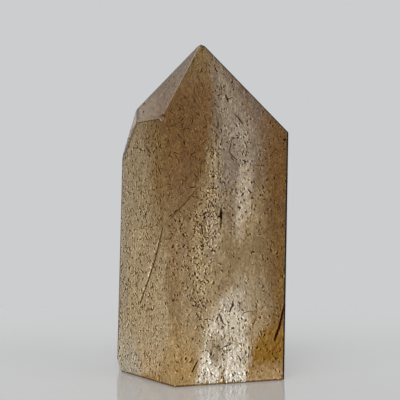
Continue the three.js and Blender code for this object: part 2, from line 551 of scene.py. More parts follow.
@dataclass
class Stone:
    """The crystal's flat faces, in millimetres, against which places inside it are tested.

    A face's reach is its distance from the origin. The limits hold the normals and reaches of edge flats too.
    """

    normals: np.ndarray
    reaches: np.ndarray
    limits: np.ndarray
    low: np.ndarray
    high: np.ndarray
    skin: float = 0.5
    tries_per_place: int = 4
    most_batches: int = 60

    @classmethod
    def of_node(cls, node: Object, smallest_face: float = 12.0, slack: float = 0.01,
                digits: int = 2) -> "Stone":
        """Reads the faces of a CAD node.

        Args:
            node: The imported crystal.
            smallest_face: Faces below this many square millimetres, such as edge flats, only limit the stone.
            slack: How far corners may lie outside a plane that limits the stone. Nicks don't limit it.
            digits: The parts of a face have normals that agree to this many digits.

        Returns:
            The stone.
        """
        faces: dict[tuple, list] = {}
        for polygon in node.data.polygons:
            key = tuple(round(part, digits) for part in polygon.normal)
            faces.setdefault(key, []).append(polygon)
        corners = np.array([vertex.co for vertex in node.data.vertices]) / METRES_PER_MM
        normals, reaches, limits = [], [], []
        for parts in faces.values():
            largest = max(parts, key=lambda part: part.area)
            reach = largest.normal.dot(largest.center) / METRES_PER_MM
            if (corners @ largest.normal).max() < reach + slack:
                limits.append((*largest.normal, reach))
            if sum(part.area for part in parts) > smallest_face * METRES_PER_MM**2:
                normals.append(tuple(largest.normal))
                reaches.append(reach)
        low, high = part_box(NODE)
        return cls(np.array(normals), np.array(reaches), np.array(limits),
                   np.array(low) / METRES_PER_MM, np.array(high) / METRES_PER_MM)

    def depth(self, points: Points) -> np.ndarray:
        """How deep each point lies under the nearest face or edge flat."""
        return (self.limits[:, 3] - points @ self.limits[:, :3].T).min(axis=1)

    def cover(self, shapes: Points) -> np.ndarray:
        """The least depth of each shape's corners."""
        return self.depth(shapes.reshape(-1, 3)).reshape(len(shapes), -1).min(axis=1)

    def scatter(self, rng: Random, count: int, depth: Span, where: Mask) -> Points:
        """Places strewn inside the stone.

        Args:
            rng: The source of chance.
            count: How many places.
            depth: The least and the most depth under the nearest face.
            where: The chance, from 0 to 1, that a place is kept.

        Returns:
            The places, one a row.
        """
        kept = np.empty((0, 3))
        for _ in range(self.most_batches):
            tries = rng.uniform(self.low, self.high, (self.tries_per_place * count, 3))
            below = self.depth(tries)
            tries = tries[(below > depth[0]) & (below < depth[1])]
            tries = tries[rng.uniform(size=len(tries)) < where(tries)]
            kept = np.vstack((kept, tries))
            if len(kept) >= count:
                break
        return kept[:count]

    def on_faces(self, rng: Random, count: int, rim: float, where: Mask) -> tuple[Points, Points]:
        """Places strewn over the polished faces. The sawn base gets none, for the stone stands on it.

        Args:
            rng: The source of chance.
            count: How many places are tried.
            rim: How far they stay from the edges.
            where: The chance, from 0 to 1, that a place is kept.

        Returns:
            The places and the faces' normals there.
        """
        tries = self.scatter(rng, count, (0.0, self.skin), anywhere)
        gaps = self.reaches - tries @ self.normals.T
        nearest = gaps.argmin(axis=1)
        rows = np.arange(len(tries))
        normals = self.normals[nearest]
        places = tries + normals * gaps[rows, nearest][:, None]
        others = self.reaches - places @ self.normals.T
        others[rows, nearest] = np.inf
        kept = (others.min(axis=1) > rim) & (rng.uniform(size=len(places)) < where(places))
        kept &= normals[:, 2] > BASE_TURN
        return places[kept], normals[kept]


@dataclass(frozen=True)
class Form:
    """A small shape: corners across, through and along it, from -1 to 1, and its triangles."""

    corners: tuple[Place, ...]
    faces: tuple[tuple[int, int, int], ...]


class Habit(Enum):
    """The forms of small inclusions: a needle pointed at both ends, and a thin bent leaf."""

    SPINDLE = Form(
        ((0.7, 0, 1), (0.9, 0.8, 0.35), (-0.8, 0.8, 0.3), (0, -0.8, 0.4), (0.8, 0.8, -0.4), (-1, 0.8, -0.35),
         (0, -0.8, -0.3), (0.5, 0, -1)),
        ((0, 1, 2), (0, 2, 3), (0, 3, 1), (1, 4, 5), (1, 5, 2), (2, 5, 6), (2, 6, 3), (3, 6, 4), (3, 4, 1),
         (7, 5, 4), (7, 6, 5), (7, 4, 6)))
    FLAKE = Form(((1, 0.12, 0.2), (-1, 0.12, -0.1), (0.1, -0.12, 1), (-0.1, -0.12, -1)),
                 ((0, 2, 1), (0, 1, 3), (0, 3, 2), (1, 2, 3)))


def unit(vectors: np.ndarray) -> np.ndarray:
    """Each row at length 1."""
    return vectors / np.linalg.norm(vectors, axis=1, keepdims=True)


def within(directions: np.ndarray, normals: np.ndarray) -> np.ndarray:
    """The part of each direction that lies across its normal, at length 1."""
    return unit(directions - normals * (directions * normals).sum(axis=1, keepdims=True))


def shapes_at(habit: Habit, places: Points, axis: Points, side: Points, scale: Points) -> Points:
    """The corners of many like shapes.

    Args:
        habit: Their form.
        places: Their middles.
        axis: The way each one points.
        side: The way across each one, roughly.
        scale: Half of each one's width, thickness and length.

    Returns:
        The corners: shapes by corners by three.
    """
    across = within(side, axis)
    frames = np.stack((across, np.cross(axis, across), axis), axis=2)
    local = np.array(habit.value.corners, float)[None, :, :] * scale[:, None, :]
    return places[:, None, :] + np.einsum("nij,nkj->nki", frames, local)


def joined(name: str, habit: Habit, shapes: Points, material: Material) -> Object:
    """Many like shapes as one joined mesh that rides on the crystal.

    Args:
        name: The piece's name.
        habit: Their form.
        shapes: Their corners: shapes by corners by three.
        material: Their finish.

    Returns:
        The piece.
    """
    count, size = shapes.shape[:2]
    faces = np.array(habit.value.faces)[None, :, :] + np.arange(count)[:, None, None] * size
    mesh = bpy.data.meshes.new(name)
    mesh.from_pydata(shapes.reshape(-1, 3) * METRES_PER_MM, [], faces.reshape(-1, 3))
    mesh.materials.append(material)
    mesh.update()
    return ride(name, mesh)


@dataclass
class Swarm:
    """Like inclusions inside the stone, joined in one mesh: fine needles where nothing else is said.

    Tilt is how far they lean from upright, in degrees. Cover is the least depth of their corners.
    """

    name: str
    seed: int
    habit: Habit = Habit.SPINDLE
    count: int = 1500
    length: Span = (2.0, 9.0)
    width: Span = (0.06, 0.14)
    depth: Span = (0.1, 5.0)
    tilt: float = 22.0
    where: Mask = anywhere
    cover: float = 0.04

    def build(self, stone: Stone, material: Material) -> Object:
        """Strews the inclusions and joins them.

        Args:
            stone: The crystal that holds them.
            material: Their finish.

        Returns:
            The joined piece.
        """
        rng = np.random.default_rng(self.seed)
        places = stone.scatter(rng, self.count, self.depth, self.where)
        count = len(places)
        long = rng.uniform(*self.length, count) / 2.0
        wide = rng.uniform(*self.width, count) / 2.0
        axis = rng.normal(0.0, math.tan(math.radians(self.tilt)), (count, 3))
        axis[:, 2] = 1.0
        spin = rng.uniform(0.0, 2.0 * math.pi, count)
        side = np.stack((np.cos(spin), np.sin(spin), np.zeros(count)), axis=1)
        shapes = shapes_at(self.habit, places, unit(axis), side, np.stack((wide, wide, long), axis=1))
        return joined(self.name, self.habit, shapes[stone.cover(shapes) > self.cover], material)


@dataclass
class Lying:
    """Spindles that lie in faces: middles, the faces' normals, long axes, and half of their sizes."""

    places: Points
    normals: Points
    axis: Points
    long: np.ndarray
    wide: np.ndarray

    def those(self, chosen: np.ndarray) -> "Lying":
        """Only the chosen ones."""
        return Lying(*(values[chosen] for values in vars(self).values()))


@dataclass
class Flecks:
    """Fibres cut by the polish: short dark commas in the faces, most bold ones with a pale glint, a painted
    highlight, beside them.

    In the brown core they are longer, finer and more turned, as hairs.
    """

    crowding: Crowding = Crowding()
    tries: int = 44000
    rim: float = 0.06
    length: Span = (0.26, 0.98)
    length_spread: Span = (0.7, 1.3)
    width: Span = (0.14, 0.40)
    width_spread: Span = (0.8, 1.2)
    bold_size: float = 0.42
    stray: float = 26.0
    proud: float = 0.028
    thickness: float = 1.6
    sunk: float = 0.2
    most_proud: float = 1.2
    hair_core: Span = (0.5, 0.95)
    hair_length: float = 1.1
    hair_width: float = 0.45
    hair_stray: float = 1.0
    bold_glints: float = 0.95
    faint_glints: float = 0.48
    right_glints: float = 0.7
    glint_width: Span = (0.5, 0.9)
    glint_length: Span = (0.6, 1.1)
    glint_slide: Span = (-0.4, 0.4)
    glint_shift: Span = (0.0, 0.1)
    glint_gap: float = 0.9
    # How much wider the painted glints grow in the painted foot glow
    foot_glow_growth: float = 0.8
    seed: int = 8

    def build(self, stone: Stone, bold: Material, faint: Material, pale: Material) -> None:
        """Strews the commas and their glints over the faces.

        Args:
            stone: The crystal.
            bold: The finish of the larger commas.
            faint: The finish of the smaller ones.
            pale: The glints' finish, a painted highlight.
        """
        rng = np.random.default_rng(self.seed)
        places, normals = stone.on_faces(rng, self.tries, self.rim, self.crowding.chance)
        count = len(places)
        size = rng.uniform(size=count) ** self.crowding.rarity_at(places)
        long = np.interp(size, (0, 1), self.length) * rng.uniform(*self.length_spread, count) / 2.0
        wide = np.interp(size, (0, 1), self.width) * rng.uniform(*self.width_spread, count) / 2.0
        hairy = between(BROWN_CORE.share(places), *self.hair_core)
        long *= 1.0 + self.hair_length * hairy
        wide *= 1.0 - self.hair_width * hairy
        stray = self.stray * (1.0 + self.hair_stray * hairy)
        commas = Lying(places, normals, self._axes(rng, normals, stray), long, wide)
        is_bold = size > self.bold_size
        self._strew("bold_flecks", stone, commas.those(is_bold), bold)
        self._strew("faint_flecks", stone, commas.those(~is_bold), faint)
        glints = self._beside(rng, commas)
        lucky = rng.uniform(size=count) < np.where(is_bold, self.bold_glints, self.faint_glints)
        self._strew("pale_flecks", stone, glints.those(lucky), pale)

    def _axes(self, rng: Random, normals: Points, stray: np.ndarray) -> Points:
        """Long axes within the faces, mostly near upright, any way round on level faces.

        Args:
            rng: The source of chance.
            normals: The faces' normals.
            stray: How far each axis strays from upright, in degrees.

        Returns:
            The axes, one a row.
        """
        level = np.abs(normals[:, 2]) > LEVEL_TURN
        along = within(np.where(level[:, None], (1.0, 0.0, 0.0), (0.0, 0.0, 1.0)), normals)
        angle = np.radians(rng.normal(0.0, stray))
        angle[level] = rng.uniform(0.0, math.pi, level.sum())
        return along * np.cos(angle)[:, None] + np.cross(normals, along) * np.sin(angle)[:, None]

    def _beside(self, rng: Random, commas: Lying) -> Lying:
        """Glints close beside commas, painted highlights slimmer than they are, and wider in the painted glow
        low in the white foot.

        Args:
            rng: The source of chance.
            commas: The commas.

        Returns:
            A glint for each.
        """
        count = len(commas.places)
        away = np.cross(commas.normals, commas.axis)
        away *= np.where(rng.uniform(size=count) < self.right_glints, 1.0, -1.0)[:, None]
        growth = 1.0 + self.foot_glow_growth * PAINTED_FOOT_GLOW.share(commas.places)
        slim = commas.wide * rng.uniform(*self.glint_width, count) * growth
        shift = (commas.wide + slim) * self.glint_gap + rng.uniform(*self.glint_shift, count)
        slide = commas.long * rng.uniform(*self.glint_slide, count)
        places = commas.places + away * shift[:, None] + commas.axis * slide[:, None]
        long = commas.long * rng.uniform(*self.glint_length, count)
        return Lying(places, commas.normals, commas.axis, long, slim)

    def _strew(self, name: str, stone: Stone, lying: Lying, material: Material) -> None:
        """Sinks spindles into the faces, a little proud of them, and drops those that cross an edge.

        Args:
            name: The piece's name.
            stone: The crystal.
            lying: The spindles.
            material: Their finish.
        """
        height = np.full(len(lying.places), self.thickness * self.proud)
        sunk = lying.places - lying.normals * (height * self.sunk)[:, None]
        sizes = np.stack((lying.wide, height, lying.long), axis=1)
        shapes = shapes_at(Habit.SPINDLE, sunk, lying.axis, np.cross(lying.normals, lying.axis), sizes)
        joined(name, Habit.SPINDLE, shapes[stone.cover(shapes) > -self.most_proud * self.proud], material)


@dataclass(frozen=True)
class Strand:
    """One inclusion that stands out: its path in a face, its width at each point and the face's normal."""

    path: Points
    widths: np.ndarray
    normal: np.ndarray


class Side(Enum):
    """Which way a face looks."""

    FRONT = (0.2, -1.0, 0.0)
    LEFT = (-0.7, -0.7, 0.0)


@dataclass(frozen=True)
class Mark:
    """An inclusion as seen from in front: points across and up a face, each with its width."""

    points: tuple[tuple[float, float, float], ...]
    side: Side = Side.FRONT

    def strand(self, stone: Stone) -> Strand:
        """Lays the mark onto its face.

        Args:
            stone: The crystal.

        Returns:
            Its strand.
        """
        face = (stone.normals @ np.array(self.side.value)).argmax()
        normal, reach = stone.normals[face], stone.reaches[face]
        across, up, widths = np.array(self.points).T
        back = (reach - normal[0] * across - normal[2] * up) / normal[1]
        return Strand(np.stack((across, back, up), axis=1), widths, normal)


# Needles and other brown strokes. The long needle turns where it passes the front edge, so it is two of them.
BROWN_STROKES = (
    Mark(((-1.1, 45.1, 0.14), (-2.5, 43.4, 0.24), (-4.5, 41, 0.28), (-6.4, 39.1, 0.26), (-7.9, 37.3, 0.18))),
    Mark(((-9.4, 35.7, 0.34), (-10.1, 32.7, 0.52), (-11.1, 28.7, 0.5), (-12.9, 23.4, 0.5), (-14.9, 18, 0.44),
          (-15.2, 17.2, 0.16)), Side.LEFT),
    Mark(((-15.5, 23, 0.14), (-16.3, 21.2, 0.22)), Side.LEFT),
    Mark(((17.2, 50.8, 0.08), (16.2, 49.7, 0.18), (15.2, 48.5, 0.1))),
    Mark(((-8.3, 59.2, 0.08), (-6.5, 60, 0.2), (-4.7, 60.7, 0.1))),
    Mark(((-8.6, 60.8, 0.08), (-7.7, 60.9, 0.18), (-6.8, 61.1, 0.08))),
    Mark(((-4.7, 58.6, 0.08), (-4.6, 56.9, 0.18), (-4.6, 55.9, 0.16))),
    Mark(((8.7, 15, 0.08), (9.4, 15.8, 0.16), (10.6, 16.1, 0.16), (11.6, 15.9, 0.08))),
    Mark(((3.5, 15.9, 0.25), (4, 14.8, 0.6), (4.6, 13.4, 0.25))),
    Mark(((12.3, 18.1, 0.08), (12.5, 16.8, 0.2), (12.4, 15.2, 0.08))),
    Mark(((4.2, 70.3, 0.2), (4.4, 67.7, 0.25))),
    Mark(((3.6, 51.6, 0.12), (3.5, 49.8, 0.32), (3.4, 48.1, 0.12))),
    Mark(((4.1, 37.2, 0.5), (4.05, 36.3, 0.64), (4.05, 35.5, 0.36))),
    Mark(((3.6, 61.8, 0.14), (3.5, 60.2, 0.36), (3.5, 58.9, 0.16))),
    Mark(((3.2, 58.2, 0.14), (3, 56.6, 0.34), (3.1, 55.2, 0.16))),
    Mark(((4.5, 57, 0.3), (4.3, 55.8, 0.2))),
    Mark(((2.4, 54.2, 0.3), (2.2, 52.4, 0.2))),
)
# Painted highlights: pale strands beside the long needle, in place of its glint
NEEDLE_GLINTS = (
    Mark(((-9.8, 35.2, 0.24), (-10.5, 32.6, 0.36), (-11.2, 30.2, 0.24)), Side.LEFT),
    Mark(((-11.9, 27.8, 0.2), (-13.1, 24, 0.34), (-14.5, 20.2, 0.34), (-15.3, 18.2, 0.2)), Side.LEFT),
)
DARK_SPOTS = (
    Mark(((4.1, 40.5, 0.24), (4.15, 39.7, 0.5), (4.1, 38.7, 0.74), (4.15, 37.9, 0.66), (4.1, 37, 0.32))),
    Mark(((3.4, 38.1, 0.34), (3.8, 38.2, 0.62), (4.2, 38.3, 0.62))),
)
VEIL_MARKS = (
    Mark(((5.4, 67.9, 0.25), (5.8, 66.6, 0.55), (6, 65.9, 0.3))),
    Mark(((5.8, 66.5, 0.4), (7, 67.2, 0.14))),
    Mark(((2.6, 65.5, 0.35), (3, 65.1, 0.3))),
    Mark(((7.6, 63.1, 0.18), (8.5, 62.1, 0.4), (9.4, 61, 0.36), (9.7, 60.4, 0.12))),
    Mark(((6.9, 59.7, 0.22), (6.9, 58.3, 0.15))),
    Mark(((7, 57.2, 0.45), (7.5, 57, 0.4))),
    Mark(((8.1, 57.2, 0.5), (8.6, 57.4, 0.3))),
    Mark(((10, 58.3, 0.4), (10.4, 57.8, 0.3))),
    Mark(((6.9, 57.4, 0.12), (6.5, 55.1, 0.28), (6.1, 53.7, 0.18), (6.9, 52.7, 0.28), (8.2, 51.7, 0.2))),
    Mark(((10.6, 55.3, 0.12), (10.5, 54, 0.26), (10.3, 52.8, 0.16))),
    Mark(((9.4, 51.8, 0.3), (10, 51.5, 0.55), (10.5, 51.4, 0.3))),
    Mark(((2.2, 49, 0.5), (2.4, 48.6, 0.45))),
    Mark(((6, 16, 0.35), (6.4, 17, 0.5), (7.1, 17.7, 0.35))),
    Mark(((8.1, 18.5, 0.14), (8.4, 17.6, 0.26), (8.5, 16.7, 0.14))),
    Mark(((0.1, 14.5, 0.18), (1, 14.7, 0.32), (1.7, 14.4, 0.18))),
    Mark(((4.6, 8.2, 0.32), (5.6, 8.6, 0.36), (6.7, 9, 0.08))),
    Mark(((6.8, 18.5, 0.3), (6.8, 17.9, 0.6), (6.6, 17.4, 0.3))),
)
CORE_MARKS = (
    Mark(((-4.6, 56.2, 0.24), (-4.5, 55.5, 0.56), (-4.4, 54.9, 0.3))),
    Mark(((-4.3, 54.7, 0.3), (-4.1, 54.3, 0.24))),
    Mark(((-8.6, 56.4, 0.4), (-9.1, 55.9, 0.2))),
    Mark(((-7.7, 53.4, 0.34), (-8, 52.2, 0.22))),
    Mark(((-13.8, 54.9, 0.2), (-13.1, 53.9, 0.52), (-12.5, 53.2, 0.25)), Side.LEFT),
    Mark(((-10.8, 50.8, 0.1), (-10.4, 49.3, 0.4), (-10, 47.9, 0.2)), Side.LEFT),
    Mark(((-11, 60.2, 0.3), (-11.3, 59, 0.3)), Side.LEFT),
)
RUSTY_CRACKS = (
    Mark(((19.2, 17.7, 0.26), (18.7, 15.4, 0.54), (18.3, 13.8, 0.62), (17.8, 12, 0.74), (17.1, 10.4, 0.76),
          (16.6, 9, 0.48))),
    Mark(((-1.2, 5.8, 0.16), (-1.9, 4.5, 0.42), (-2.6, 3.1, 0.34))),
)
GOLDEN_VEINS = (
    Mark(((16.1, 11.6, 0.2), (15.6, 11, 0.56), (15.1, 10.4, 0.36))),
    Mark(((19.2, 10.8, 0.16), (17.6, 8.5, 0.4), (15.4, 5.9, 0.36), (13.2, 4, 0.12))),
    Mark(((18.5, 7.7, 0.12), (16.8, 6.1, 0.28), (15, 4.7, 0.14))),
    Mark(((11.1, 10, 0.12), (11.3, 7.8, 0.3), (10.9, 5.6, 0.14))),
    Mark(((12.4, 14.8, 0.1), (11.8, 13.4, 0.22), (11.1, 11.6, 0.12))),
)


@dataclass
class StrayNeedles:
    """Longer needles that meet the polish all over the stone, each slightly bent."""

    tries: int = 220
    kept_share: float = 0.8
    rim: float = 2.0
    length: Span = (1.5, 7.0)
    width: Span = (0.07, 0.15)
    stations: Knots = (-1.0, -0.4, 0.3, 1.0)
    taper: Knots = (0.4, 1.0, 1.0, 0.3)
    rise: float = 90.0
    stray: float = 35.0
    bend: float = 0.04
    edge_gap: float = 0.4
    seed: int = 77

    def strands(self, stone: Stone) -> list[Strand]:
        """Draws the needles and drops those that come near an edge.

        Args:
            stone: The crystal.

        Returns:
            Their strands.
        """
        rng = np.random.default_rng(self.seed)
        places, normals = stone.on_faces(rng, self.tries, self.rim, self._chance)
        drawn = [self._needle(rng, place, normal) for place, normal in zip(places, normals)]
        return [strand for strand in drawn if self._edge_distance(stone, strand) > self.edge_gap]

    def _chance(self, points: Points) -> np.ndarray:
        """The same chance at every point."""
        return np.full(len(points), self.kept_share)

    def _needle(self, rng: Random, place: np.ndarray, normal: np.ndarray) -> Strand:
        """One needle.

        Args:
            rng: The source of chance.
            place: Its middle.
            normal: The normal of its face.

        Returns:
            Its strand.
        """
        angle = math.radians(rng.normal(self.rise, self.stray))
        level = abs(normal[2]) >= LEVEL_TURN
        across = np.cross(normal, (1.0, 0.0, 0.0) if level else (0.0, 0.0, 1.0))
        across /= np.linalg.norm(across)
        axis = across * math.cos(angle) + np.cross(across, normal) * math.sin(angle)
        half = rng.uniform(*self.length) / 2.0
        width = rng.uniform(*self.width)
        bow = rng.normal(0.0, self.bend) * half
        stations = np.array(self.stations)[:, None]
        path = place + axis * half * stations + np.cross(normal, axis) * bow * (1.0 - stations**2)
        return Strand(path, width * np.array(self.taper), normal)

    def _edge_distance(self, stone: Stone, strand: Strand) -> float:
        """How near a needle comes to the second nearest face."""
        return np.sort(stone.reaches - strand.path @ stone.normals.T, axis=1)[:, 1].min()


@dataclass
class Standouts:
    """Inclusions that stand out one by one, each cut open by the polish.

    Proud is how far they rise above it. Thickness and sunk are shares of that.
    """

    name: str
    strands: list[Strand]
    proud: float
    sides: int = 6
    thickness: float = 1.3
    sunk: float = 0.3

    def build(self, material: Material) -> Object:
        """Builds every strand and joins them.

        Args:
            material: Their finish.

        Returns:
            The joined piece.
        """
        bm = bmesh.new()
        for strand in self.strands:
            self._loft(bm, strand)
        bmesh.ops.recalc_face_normals(bm, faces=bm.faces)
        mesh = mesh_from(self.name, bm)
        mesh.materials.append(material)
        return ride(self.name, mesh)

    def _loft(self, bm: BMesh, strand: Strand) -> None:
        """Lofts one strand through rings at its points, half sunk into the face.

        Args:
            bm: Where it is built.
            strand: The strand.
        """
        normal = strand.normal
        rings = []
        for place, tangent, width in zip(strand.path, unit(np.gradient(strand.path, axis=0)), strand.widths):
            side = np.cross(normal, tangent)
            centre = place - normal * self.sunk * self.proud
            columns = np.array((side * width / 2.0, normal * self.thickness * self.proud, tangent, centre))
            matrix = Matrix([*(columns.T * METRES_PER_MM).tolist(), (0.0, 0.0, 0.0, 1.0)])
            ring = bmesh.ops.create_circle(bm, cap_ends=False, radius=1.0, segments=self.sides, matrix=matrix)
            rings.append(list({edge for vert in ring["verts"] for edge in vert.link_edges}))
        for lower, upper in zip(rings, rings[1:]):
            bmesh.ops.bridge_loops(bm, edges=lower + upper)
        for end in (rings[0], rings[-1]):
            bmesh.ops.contextual_create(bm, geom=end)


@dataclass(frozen=True)
class GrowthTint:
    """The milky tint: every zone's colour, with painted glow from the floor low down among them, with
    wandering borders, mottled and streaked upright.
    """

    upper: Colour = (0.40, 0.285, 0.150)
    lower: Colour = (0.605, 0.452, 0.245)
    lower_share: Span = (0.75, 0.2)
    wanders: tuple[Grain, ...] = (Grain(6.0, 3.0, 3.0, 4.0), Grain(0.8, 8.0, 3.0, 4.0))
    mottles: tuple[Grain, ...] = (
        Grain(3.2, 2.2, 3.0, 0.07), Grain(0.55, 7.0, 3.0, 0.13), Grain(0.42, 1.8, 2.0, 0.24))
    foot_streaks: Grain = Grain(0.45, 5.0, 2.0, 0.28)
    contrast: Span = (0.28, 0.72)
    by_channel: Colour = (1.0, 1.15, 1.5)

    def group(self) -> NodeTree:
        """Builds the shared group.

        Returns:
            A node group: Object coordinates in, colour out, multiplied by a shade.
        """
        wires, source, result = new_group("growth_tint", {"Shade": "Color"}, {"Color": "Color"})
        place = source.outputs["Vector"]
        split = wires.add("SeparateXYZ", {0: place})
        height = wires.math("DIVIDE", split.outputs["Z"], ZONE_HEIGHT * METRES_PER_MM)
        across = wires.math("DIVIDE", split.outputs["X"], METRES_PER_MM)
        for grain in self.wanders:
            lumps = wires.math("SUBTRACT", wires.noise(place, grain), MIDDLE)
            across = wires.math("ADD", across, wires.math("MULTIPLY", lumps, grain.amount))
        colour = wires.blend(wires.step(height, *self.lower_share), self.upper, self.lower)
        for zone in TINTED_ZONES:
            colour = wires.blend(zone.wire(wires, across, height), colour, zone.colour)
        for grain in self.mottles:
            colour = self._vary(wires, colour, place, grain)
        colour = self._vary(wires, colour, place, self.foot_streaks, WHITE_FOOT.wire(wires, across, height))
        wires.link(wires.blend(1.0, colour, source.outputs["Shade"], "MULTIPLY"), result.inputs[0])
        return wires.tree

    def _vary(self, wires: Wires, colour: Socket, place: Socket, grain: Grain,
              share: Socket | float = 1.0) -> Socket:
        """Lightens and darkens a colour in lumps, a little more in blue than in red.

        Args:
            wires: Where the nodes are built.
            colour: The colour.
            place: Object coordinates.
            grain: The lumps.
            share: Where they act, from 0 to 1.

        Returns:
            The changed colour.
        """
        low = tuple(1.0 - grain.amount * channel for channel in self.by_channel)
        high = tuple(1.0 + grain.amount * channel for channel in self.by_channel)
        lumps = wires.blend(wires.step(wires.noise(place, grain), *self.contrast), low, high)
        return wires.blend(share, colour, lumps, "MULTIPLY")


@dataclass(frozen=True)
class PolishWear:
    """How the lapped faces vary: dull drifts left by the polish, and fine pits where fibres broke out."""

    drifts: Grain = Grain(5.0, 1.5, 3.0, 0.5)
    drift_span: Span = (0.35, 0.70)
    pits: Grain = Grain(0.30, 2.0, 1.0)
    pit_span: Span = (0.60, 0.72)

    def group(self) -> NodeTree:
        """Builds the shared group.

        Returns:
            A node group: Object coordinates in, wear and height out, both from 0 to 1.
        """
        wires, source, result = new_group("polish_wear", {}, {"Wear": "Float", "Height": "Float"})
        place = source.outputs["Vector"]
        drifts = wires.step(wires.noise(place, self.drifts), *self.drift_span)
        pits = wires.step(wires.noise(place, self.pits), *self.pit_span)
        dull = wires.math("MULTIPLY", drifts, self.drifts.amount)
        wires.link(wires.math("MAXIMUM", dull, pits), result.inputs["Wear"])
        wires.link(wires.math("SUBTRACT", 1.0, pits), result.inputs["Height"])
        return wires.tree


@dataclass(frozen=True)
class CloudedQuartz:
    """Smoky quartz clouded by fibres too fine to see: half clear, half milky, tinted by what it swallows."""

    name: str
    shade: Colour = (1.0, 1.0, 1.0)
    gloss: float = 0.5
    roughness: float = 0.04
    wear: float = 0.14
    pit_depth: float = 0.012
    clearness: float = 0.5
    smoke: Colour = (0.80, 0.66, 0.44)
    strength: float = 25.0

    def material(self, tint: NodeTree, polish_wear: NodeTree) -> Material:
        """Builds the finish.

        Args:
            tint: The group that gives the milky tint.
            polish_wear: The group that varies the polish.

        Returns:
            The material.
        """
        material, wires, output = new_material(self.name)
        place = wires.add("TexCoord").outputs["Object"]
        shade = (*self.shade, 1.0)
        worn = wires.add("Group", {"Vector": place}, node_tree=polish_wear).outputs
        roughness = wires.math("ADD", wires.math("MULTIPLY", worn["Wear"], self.wear), self.roughness)
        bump = wires.add("Bump", {"Height": worn["Height"], "Distance": self.pit_depth * METRES_PER_MM})
        glass = wires.add("BsdfPrincipled", {
            "Base Color": wires.add("Group", {"Vector": place, "Shade": shade}, node_tree=tint).outputs[0],
            "Transmission Weight": self.clearness,
            "IOR": QUARTZ_IOR,
            "Roughness": roughness,
            "Specular IOR Level": self.gloss,
            "Normal": bump.outputs[0],
        })
        shaders = {1: glass.outputs[0], 2: wires.add("BsdfTransparent").outputs[0]}
        mix = wires.add("MixShader", {0: wires.add("LightPath").outputs["Is Shadow Ray"], **shaders})
        smoke = wires.add("VolumeAbsorption", {"Color": (*self.smoke, 1.0), "Density": self.strength})
        wires.link(mix.outputs[0], output.inputs["Surface"])
        wires.link(smoke.outputs[0], output.inputs["Volume"])
        return material


@dataclass(frozen=True)
class Grown:
    """The finish of a needle, flake or stain, in lumps from a dark shade to a light one."""

    name: str
    dark: Colour
    light: Colour
    grain: Grain = Grain(1.1)
    contrast: Span = (0.35, 0.65)
    roughness: float = 0.5
    gloss: float = 0.0

    def material(self) -> Material:
        """Builds the finish.

        Returns:
            The material.
        """
        material, wires, output = new_material(self.name)
        shader = wires.add("BsdfPrincipled", {
            "Base Color": self.colour(wires, wires.add("TexCoord").outputs["Object"]),
            "Roughness": self.roughness,
            "Specular IOR Level": self.gloss,
        })
        wires.link(shader.outputs[0], output.inputs["Surface"])
        return material

    def colour(self, wires: Wires, place: Socket) -> Socket:
        """Its colour at a place, as nodes."""
        lumps = wires.step(wires.noise(place, self.grain), *self.contrast)
        return wires.blend(lumps, self.dark, self.light)


@dataclass(frozen=True, kw_only=True)
class Fibre(Grown):
    """The finish of a fibre's cut end, the tint of the stone round it much darker, or of a painted glint
    beside one, the tint a little lighter.
    """

    tint: NodeTree
    # Milk lifts the colour toward white, for the painted glints
    milk: float = 0.0
    grain: Grain = Grain(0.9, detail=0.0)

    def colour(self, wires: Wires, place: Socket) -> Socket:
        """Its colour at a place, as nodes: the stone's tint in its own shade."""
        inputs = {"Vector": place, "Shade": super().colour(wires, place)}
        return wires.blend(self.milk, wires.add("Group", inputs, node_tree=self.tint).outputs[0], PAINTED_GLINT_WHITE)


class Finish(Enum):
    """The finishes of the crystal's faces, in the order of their material slots."""

    POLISH = CloudedQuartz("clouded_quartz")
    # Painted shade: dark edge flats and strips in place of the dark lines that the edges show
    DARK_EDGE = CloudedQuartz("dark_edge", (0.30, 0.24, 0.18))
    # Painted highlight along the edges of the left tip face
    PALE_EDGE = CloudedQuartz("pale_edge", (1.15, 1.2, 1.35), roughness=0.35)
    # Painted shade: a darker, greyer copy of the polish on the left tip face, under its sheen
    BARE_TIP = CloudedQuartz("bare_tip", (0.72, 0.72, 0.83))
    # The darkest painted shade, along the right edge
    SHADE_EDGE = CloudedQuartz("shade_edge", (0.06, 0.025, 0.004), gloss=0.0)
    # Painted shadow: a brown line along the base, where the stone meets the floor
    BASE_EDGE = CloudedQuartz("base_edge", (0.52, 0.36, 0.15), gloss=0.0)

    @property
    def number(self) -> int:
        """The number of its material slot."""
        return list(Finish).index(self)


